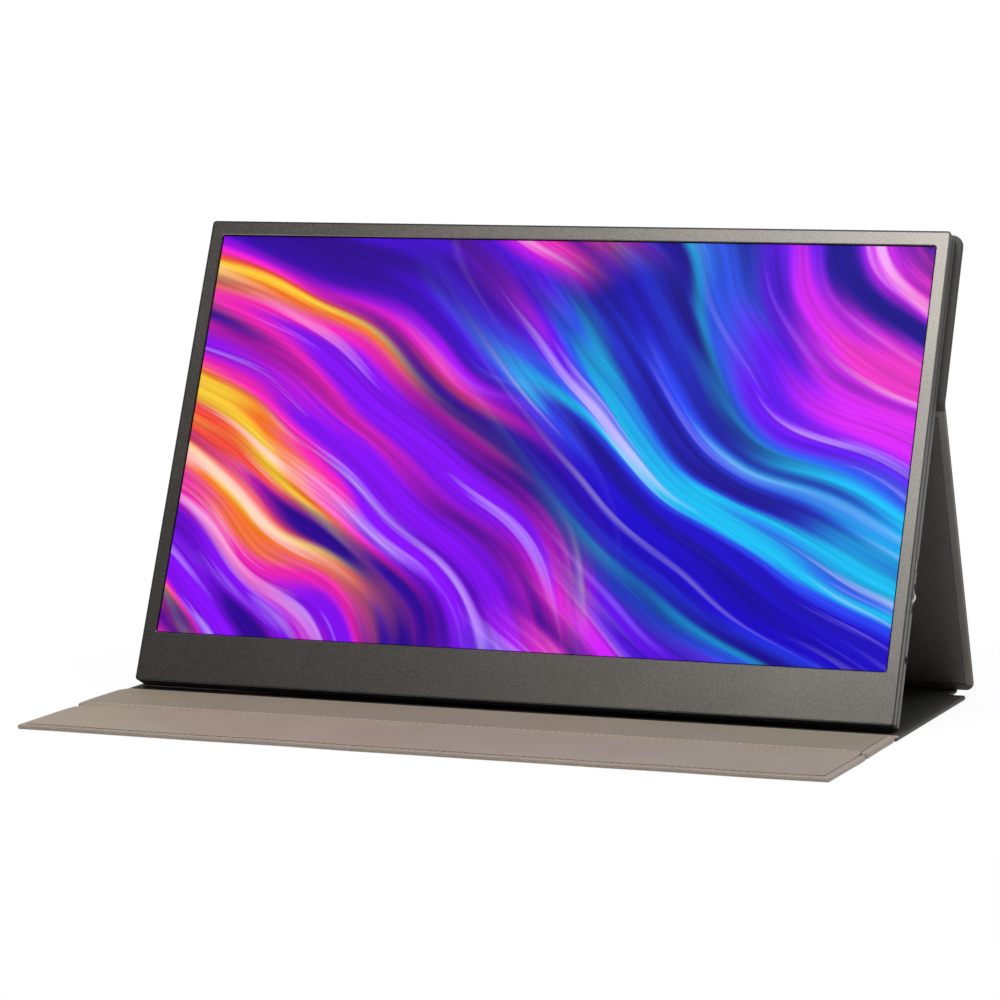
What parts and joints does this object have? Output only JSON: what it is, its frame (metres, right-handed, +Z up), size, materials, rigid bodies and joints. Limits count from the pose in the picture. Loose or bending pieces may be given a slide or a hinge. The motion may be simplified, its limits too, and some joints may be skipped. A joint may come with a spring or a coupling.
{
  "type": "portable monitor with cover",
  "caption": "Slim portable monitor held by magnets to a folding cover that stands it up, with a hinged leg, two fold-out flaps, side buttons and a jog dial.",
  "frame": {"origin": "middle of the outline, on the surface that the cover lies on", "axes": "+X to the viewer's right along the screen's width, +Y away from the viewer, +Z up"},
  "size_m": [0.3634, 0.2402, 0.2123],
  "materials": {
    "cover_leather": "grained, satin",
    "cover_lining": "cross-grain, matt",
    "floor_lining": "smooth, matt",
    "flap_leather": "smooth, satin",
    "inner_flap_lining": "microfibre, matt",
    "outer_flap_lining": "microfibre, matt",
    "stiffener_board": "grey board",
    "magnet_steel": "nickel plated",
    "bezel_grey": "satin, finely speckled",
    "carrier_black": "fine texture",
    "frame_grey": "anodised, satin",
    "shell_silver": "anodised, satin",
    "gasket_black": "matt",
    "screen": "anti-glare film over a lit picture",
    "lcd_glass": "clear",
    "optical_film": "translucent",
    "light_guide": "clear",
    "tray_steel": "plated",
    "module_plastic": "moulded",
    "led_yellow": "phosphor",
    "circuit_board": "solder mask",
    "chip_black": "moulded",
    "flex_amber": "polyimide",
    "socket_metal": "plated",
    "jack_black": "moulded",
    "button_silver": "anodised",
    "button_dark": "moulded",
    "light_pipe": "clear",
    "speaker_black": "moulded",
    "screw_steel": "plated"
  },
  "bodies": {
    "floor": {"floor_skin": "cover_leather", "floor_board": "stiffener_board", "floor_lining": "floor_lining", "spine_skin": "cover_leather", "spine_board": "stiffener_board", "spine_fold_strip": "cover_leather", "rear_fold_strip": "cover_leather", "front_fold_strip": "cover_leather"},
    "leg": {"leg_skin": "cover_leather", "leg_board": "stiffener_board", "leg_lining": "cover_lining", "mid_fold_strip": "cover_leather"},
    "back_panel": {"back_panel_skin": "cover_leather", "back_panel_board": "stiffener_board", "back_panel_lining": "cover_lining", "back_magnets": "magnet_steel"},
    "inner_flap": {"inner_flap_skin": "flap_leather", "inner_flap_board": "stiffener_board", "inner_flap_lining": "inner_flap_lining", "flap_fold_strip": "flap_leather"},
    "outer_flap": {"outer_flap_skin": "flap_leather", "outer_flap_board": "stiffener_board", "outer_flap_lining": "outer_flap_lining", "flap_magnets": "magnet_steel"},
    "power_key": {"power_button": "button_silver"},
    "menu_key": {"menu_button": "button_dark"},
    "jog": {"jog_dial": "button_silver"},
    "monitor": {"front_bezel": "bezel_grey", "bezel_carrier": "carrier_black", "middle_frame": "frame_grey", "seam_gasket": "gasket_black", "rear_shell": "shell_silver", "front_polariser": "screen", "lcd_cell": "lcd_glass", "prism_films": "optical_film", "diffuser_film": "optical_film", "light_guide": "light_guide", "reflector_film": "optical_film", "backlight_tray": "tray_steel", "panel_frame": "module_plastic", "led_strip": "led_yellow", "source_board": "circuit_board", "panel_cable": "flex_amber", "main_board": "circuit_board", "board_chips": "chip_black", "type_c_sockets": "socket_metal", "video_socket": "socket_metal", "audio_jack": "jack_black", "key_board": "circuit_board", "key_cable": "flex_amber", "side_switches": "socket_metal", "dial_bracket": "tray_steel", "status_light": "light_pipe", "speakers": "speaker_black", "magnet_plates": "magnet_steel", "housing_screws": "screw_steel", "board_screws": "screw_steel"}
  },
  "joints": [
    {"name": "rear_fold", "type": "hinge", "parent": "floor", "child": "leg", "pos_m": [0, 0.11924, 0.0011], "axis": [-1, 0, 0], "range_deg": [-1.5, 23], "deforming": ["rear_fold_strip"]},
    {"name": "mid_fold", "type": "hinge", "parent": "leg", "child": "back_panel", "pos_m": [0, 0.05827, 0.13739], "axis": [-1, 0, 0], "range_deg": [-46, 3], "deforming": ["mid_fold_strip"]},
    {"name": "monitor_release", "type": "slide", "parent": "back_panel", "child": "monitor", "axis": [0, -0.9191, 0.3939], "range_m": [0, 0.03]},
    {"name": "front_fold", "type": "hinge", "parent": "floor", "child": "inner_flap", "pos_m": [0, -0.01874, 0.0011], "axis": [-1, 0, 0], "range_deg": [0, 110], "deforming": ["front_fold_strip"]},
    {"name": "flap_fold", "type": "hinge", "parent": "inner_flap", "child": "outer_flap", "pos_m": [0, -0.06424, 0.0011], "axis": [1, 0, 0], "range_deg": [-110, 0], "deforming": ["flap_fold_strip"]},
    {"name": "power_press", "type": "slide", "parent": "monitor", "child": "power_key", "axis": [-1, 0, 0], "range_m": [0, 0.0004], "stiffness_N_per_m": 800, "springref_m": -0.0005},
    {"name": "menu_press", "type": "slide", "parent": "monitor", "child": "menu_key", "axis": [-1, 0, 0], "range_m": [0, 0.0004], "stiffness_N_per_m": 800, "springref_m": -0.0005},
    {"name": "jog_turn", "type": "hinge", "parent": "monitor", "child": "jog", "pos_m": [0.1767, 0.01949, 0.05718], "axis": [0, 0.9191, -0.3939], "range_deg": [-20, 20], "stiffness_Nm_per_rad": 0.02}
  ],
  "couplings": [
    {"joint": "mid_fold", "follows": "rear_fold", "ratio": -2}
  ]
}
